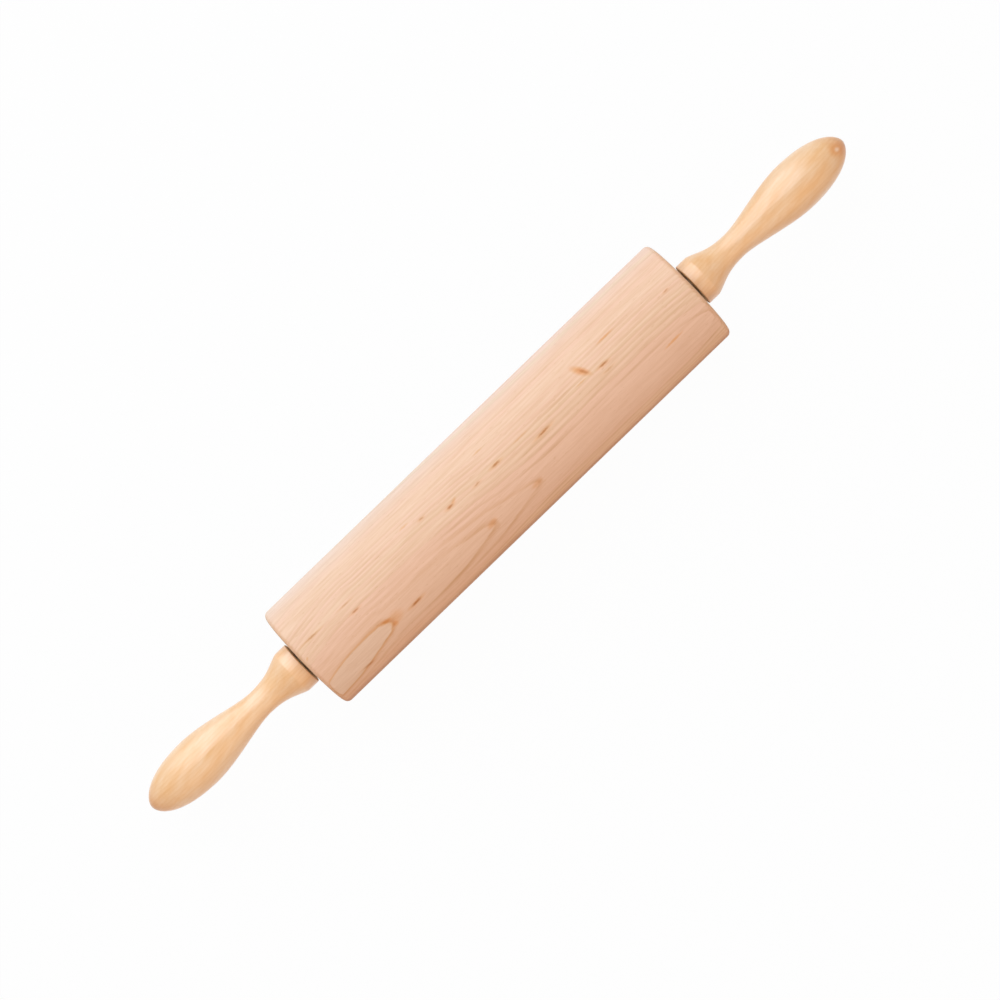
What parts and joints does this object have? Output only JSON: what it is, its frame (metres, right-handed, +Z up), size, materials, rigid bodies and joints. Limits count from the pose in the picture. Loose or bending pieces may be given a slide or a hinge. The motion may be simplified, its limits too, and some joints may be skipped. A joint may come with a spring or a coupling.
{
  "type": "rolling pin",
  "caption": "Handled wooden rolling pin: a straight maple barrel that spins on ball bearings over a steel rod, with a turned, lacquered handle fixed to each end.",
  "frame": {"origin": "middle of the barrel, on its axis", "axes": "+X along the pin towards the right handle, +Z up"},
  "size_m": [0.5484, 0.0698, 0.0698],
  "materials": {
    "maple": "sanded hard maple, pale pinkish tan, satin, with a fine straight grain and a cathedral figure",
    "lacquered_hardwood": "yellowish turned hardwood under clear gloss lacquer",
    "rod_steel": "drawn steel",
    "plated_steel": "zinc plated",
    "bearing_steel": "ground",
    "ball_steel": "polished",
    "cage_nylon": "natural nylon",
    "brass": "machined"
  },
  "bodies": {
    "axle": {"axle_rod": "rod_steel", "left_handle": "lacquered_hardwood", "left_inner_ring": "bearing_steel", "left_spacer": "rod_steel", "left_bearing_nut": "plated_steel", "left_threaded_insert": "brass", "right_handle": "lacquered_hardwood", "right_inner_ring": "bearing_steel", "right_spacer": "rod_steel", "right_bearing_nut": "plated_steel", "right_threaded_insert": "brass"},
    "roller": {"barrel": "maple", "left_bearing_cup": "plated_steel", "left_outer_ring": "bearing_steel", "left_outer_shield": "plated_steel", "left_inner_shield": "plated_steel", "right_bearing_cup": "plated_steel", "right_outer_ring": "bearing_steel", "right_outer_shield": "plated_steel", "right_inner_shield": "plated_steel"},
    "left_ball_train": {"left_balls": "ball_steel", "left_ball_cage": "cage_nylon"},
    "right_ball_train": {"right_balls": "ball_steel", "right_ball_cage": "cage_nylon"}
  },
  "joints": [
    {"name": "barrel_spin", "type": "hinge", "parent": "axle", "child": "roller", "pos_m": [0, 0, 0], "axis": [1, 0, 0], "continuous": true},
    {"name": "left_ball_orbit", "type": "hinge", "parent": "axle", "child": "left_ball_train", "pos_m": [-0.1479, 0, 0], "axis": [1, 0, 0], "continuous": true},
    {"name": "right_ball_orbit", "type": "hinge", "parent": "axle", "child": "right_ball_train", "pos_m": [0.1479, 0, 0], "axis": [1, 0, 0], "continuous": true}
  ],
  "couplings": [
    {"joint": "left_ball_orbit", "follows": "barrel_spin", "ratio": 0.6323},
    {"joint": "right_ball_orbit", "follows": "barrel_spin", "ratio": 0.6323}
  ]
}
